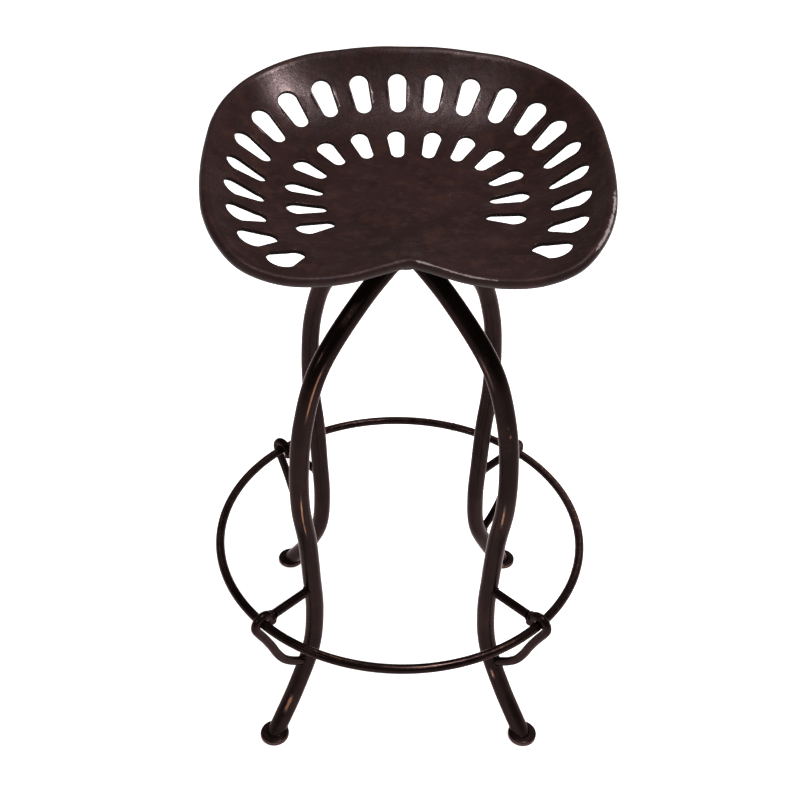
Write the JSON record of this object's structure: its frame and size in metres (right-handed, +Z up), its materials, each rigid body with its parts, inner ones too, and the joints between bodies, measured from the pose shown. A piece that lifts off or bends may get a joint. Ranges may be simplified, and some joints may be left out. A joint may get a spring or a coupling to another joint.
{
  "type": "tractor seat stool",
  "caption": "Counter-height swivel stool with a dished, pierced cast tractor seat on bent tube legs, with a round foot ring hung on hooks.",
  "frame": {"origin": "on the floor under the swivel axis, in the middle of the four feet", "axes": "+Z up along the swivel axis; the notch of the seat faces -Y and its high back +Y; the legs stand on the diagonals"},
  "size_m": [0.466, 0.466, 0.756],
  "materials": {
    "seat_casting": "dark brown bronze patina, satin, worn on the rim",
    "frame_steel": "black brown lacquer, half gloss, rubbed through to copper brown",
    "plain_steel": "plain zinc-plated steel",
    "bush_bronze": "turned bearing bronze"
  },
  "bodies": {
    "base": {"leg_front_left": "frame_steel", "leg_front_right": "frame_steel", "leg_rear_left": "frame_steel", "leg_rear_right": "frame_steel", "foot_disc_front_left": "frame_steel", "foot_disc_front_right": "frame_steel", "foot_disc_rear_left": "frame_steel", "foot_disc_rear_right": "frame_steel", "foot_ring": "frame_steel", "ring_hook_front_left": "frame_steel", "ring_hook_front_right": "frame_steel", "ring_hook_rear_left": "frame_steel", "ring_hook_rear_right": "frame_steel", "ring_strut_front_left": "frame_steel", "ring_strut_front_right": "frame_steel", "ring_strut_rear_left": "frame_steel", "ring_strut_rear_right": "frame_steel", "hub_socket": "frame_steel", "upper_bush": "bush_bronze", "lower_bush": "bush_bronze"},
    "seat": {"seat_pan": "seat_casting", "swivel_plate": "frame_steel", "swivel_spindle": "plain_steel", "retaining_washer": "plain_steel", "retaining_ring": "plain_steel", "seat_screw_1": "plain_steel", "seat_screw_2": "plain_steel", "seat_screw_3": "plain_steel", "seat_screw_4": "plain_steel"}
  },
  "joints": [
    {"name": "seat_swivel", "type": "hinge", "parent": "base", "child": "seat", "pos_m": [0, 0, 0.62], "axis": [0, 0, 1], "continuous": true}
  ]
}
